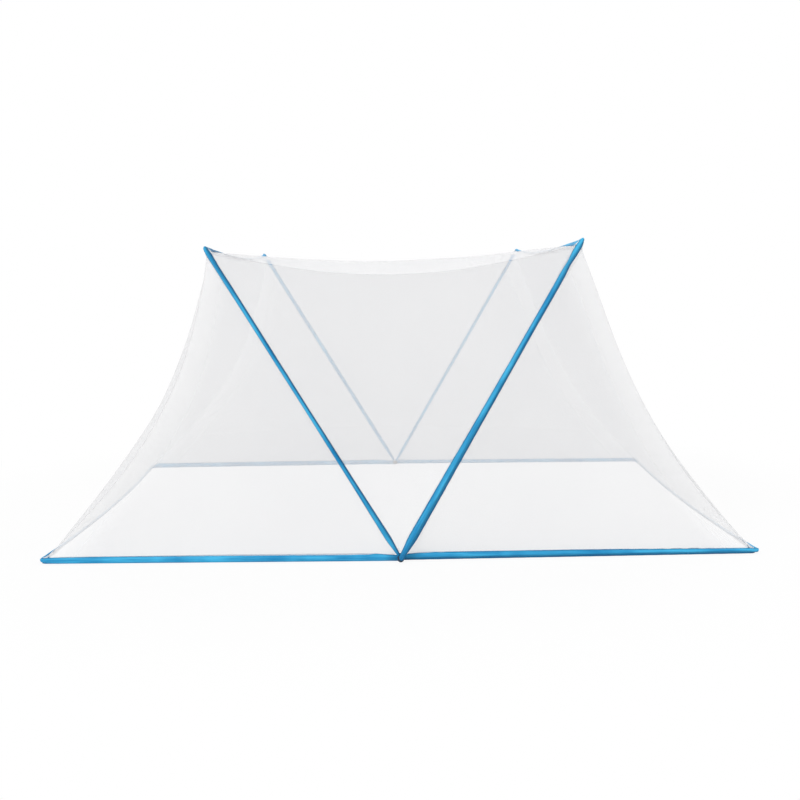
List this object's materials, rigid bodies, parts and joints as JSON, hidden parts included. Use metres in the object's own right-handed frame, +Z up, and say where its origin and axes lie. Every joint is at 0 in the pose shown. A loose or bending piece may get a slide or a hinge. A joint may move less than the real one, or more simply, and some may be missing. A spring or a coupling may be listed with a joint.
{
  "type": "mosquito net tent",
  "caption": "Free-standing bottomless mosquito net tent: U-shaped wire frames in blue tape, joined by white net, fan out from a riveted hub on each long side.",
  "frame": {"origin": "on the floor, under the middle of the hinge line that joins the front and rear hubs", "axes": "+X along the tent's length, to the right as seen from the front; -Y towards the front; +Z up"},
  "size_m": [2.005, 1.5842, 0.8801],
  "materials": {
    "tape": "satin",
    "net": "matte",
    "wire": "satin",
    "rivet": "satin",
    "knuckle": "satin"
  },
  "bodies": {
    "left_base": {"left_base_wire": "wire", "left_base_front_sheath": "tape", "left_base_front_corner_sheath": "tape", "left_base_bar_sheath": "tape", "left_base_rear_corner_sheath": "tape", "left_base_rear_sheath": "tape", "left_base_front_knuckle": "knuckle", "left_base_rear_knuckle": "knuckle", "front_rivet": "rivet", "front_washer": "rivet", "rear_rivet": "rivet", "rear_washer": "rivet", "left_end_net": "net", "left_front_net": "net", "left_rear_net": "net"},
    "left_arch": {"left_arch_wire": "wire", "left_arch_front_sheath": "tape", "left_arch_front_corner_sheath": "tape", "left_arch_bar_sheath": "tape", "left_arch_rear_corner_sheath": "tape", "left_arch_rear_sheath": "tape", "left_arch_front_knuckle": "knuckle", "left_arch_rear_knuckle": "knuckle", "middle_top_net": "net", "middle_front_net": "net", "middle_rear_net": "net"},
    "right_arch": {"right_arch_wire": "wire", "right_arch_front_sheath": "tape", "right_arch_front_corner_sheath": "tape", "right_arch_bar_sheath": "tape", "right_arch_rear_corner_sheath": "tape", "right_arch_rear_sheath": "tape", "right_arch_front_knuckle": "knuckle", "right_arch_rear_knuckle": "knuckle", "front_hub_flap": "tape"},
    "right_base": {"right_base_wire": "wire", "right_base_front_sheath": "tape", "right_base_front_corner_sheath": "tape", "right_base_bar_sheath": "tape", "right_base_rear_corner_sheath": "tape", "right_base_rear_sheath": "tape", "right_base_front_knuckle": "knuckle", "right_base_rear_knuckle": "knuckle", "rear_hub_flap": "tape", "right_end_net": "net", "right_front_net": "net", "right_rear_net": "net"}
  },
  "joints": [
    {"name": "left_arch_fold", "type": "hinge", "parent": "left_base", "child": "left_arch", "pos_m": [0, 0, 0.01], "axis": [0, 1, 0], "range_deg": [-57.3, 0], "deforming": ["left_end_net", "left_front_net", "left_rear_net"]},
    {"name": "right_arch_fold", "type": "hinge", "parent": "left_arch", "child": "right_arch", "pos_m": [0, 0, 0.01], "axis": [0, 1, 0], "range_deg": [-59.6, 0], "deforming": ["middle_top_net", "middle_front_net", "middle_rear_net"]},
    {"name": "right_base_fold", "type": "hinge", "parent": "right_arch", "child": "right_base", "pos_m": [0, 0, 0.01], "axis": [0, 1, 0], "range_deg": [-58.6, 0], "deforming": ["right_end_net", "right_front_net", "right_rear_net"]}
  ]
}
